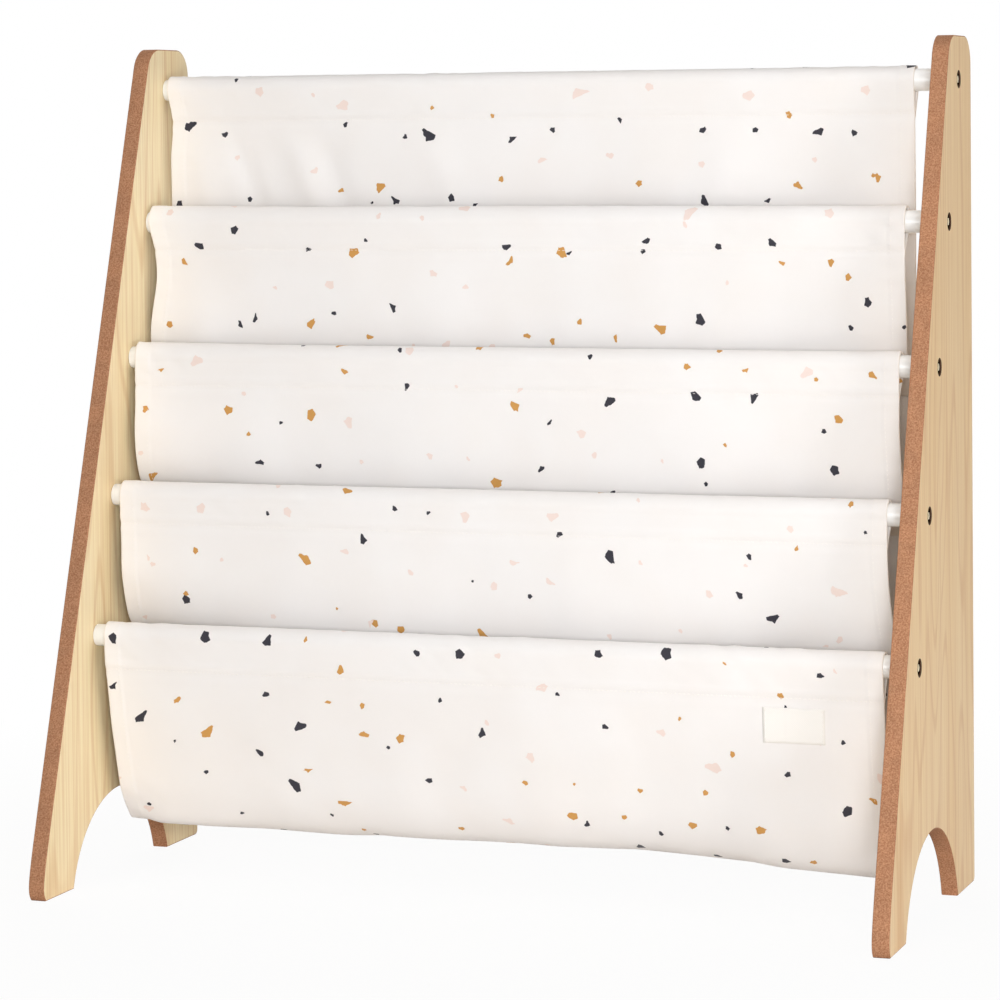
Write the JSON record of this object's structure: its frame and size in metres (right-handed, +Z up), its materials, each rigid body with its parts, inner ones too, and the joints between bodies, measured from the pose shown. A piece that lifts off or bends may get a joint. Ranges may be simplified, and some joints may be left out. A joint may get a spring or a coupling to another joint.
{
  "type": "sling bookshelf",
  "caption": "Child's sling bookshelf: sloping foil-faced side panels with arched feet, white round rods between them and cloth slings that hold books face out.",
  "frame": {"origin": "on the floor under the middle of the shelf's box", "axes": "+X to the right as seen from the front, along the rods; +Y to the back; +Z up"},
  "size_m": [0.627, 0.266, 0.61],
  "materials": {
    "foil_board": "satin pale wood-grain foil on fibreboard, bare brown edges",
    "white_rod": "smooth white powder coat, semi-gloss",
    "insert_steel": "zinc plated",
    "bronze_screw": "dark bronze, satin",
    "sling_cloth": "matt woven cotton-feel canvas, printed with a terrazzo chip pattern",
    "label_cloth": "matt cream twill, bare"
  },
  "bodies": {
    "root": {"side_panel_left": "foil_board", "side_panel_right": "foil_board", "rod_1": "white_rod", "rod_2": "white_rod", "rod_3": "white_rod", "rod_4": "white_rod", "rod_5": "white_rod", "rod_1_insert_left": "insert_steel", "rod_1_insert_right": "insert_steel", "rod_2_insert_left": "insert_steel", "rod_2_insert_right": "insert_steel", "rod_3_insert_left": "insert_steel", "rod_3_insert_right": "insert_steel", "rod_4_insert_left": "insert_steel", "rod_4_insert_right": "insert_steel", "rod_5_insert_left": "insert_steel", "rod_5_insert_right": "insert_steel", "rod_1_screw_left": "bronze_screw", "rod_1_screw_right": "bronze_screw", "rod_2_screw_left": "bronze_screw", "rod_2_screw_right": "bronze_screw", "rod_3_screw_left": "bronze_screw", "rod_3_screw_right": "bronze_screw", "rod_4_screw_left": "bronze_screw", "rod_4_screw_right": "bronze_screw", "rod_5_screw_left": "bronze_screw", "rod_5_screw_right": "bronze_screw", "sling_sheet": "sling_cloth", "tier_panel_2": "sling_cloth", "tier_panel_3": "sling_cloth", "tier_panel_4": "sling_cloth", "sewn_label": "label_cloth"}
  },
  "joints": []
}
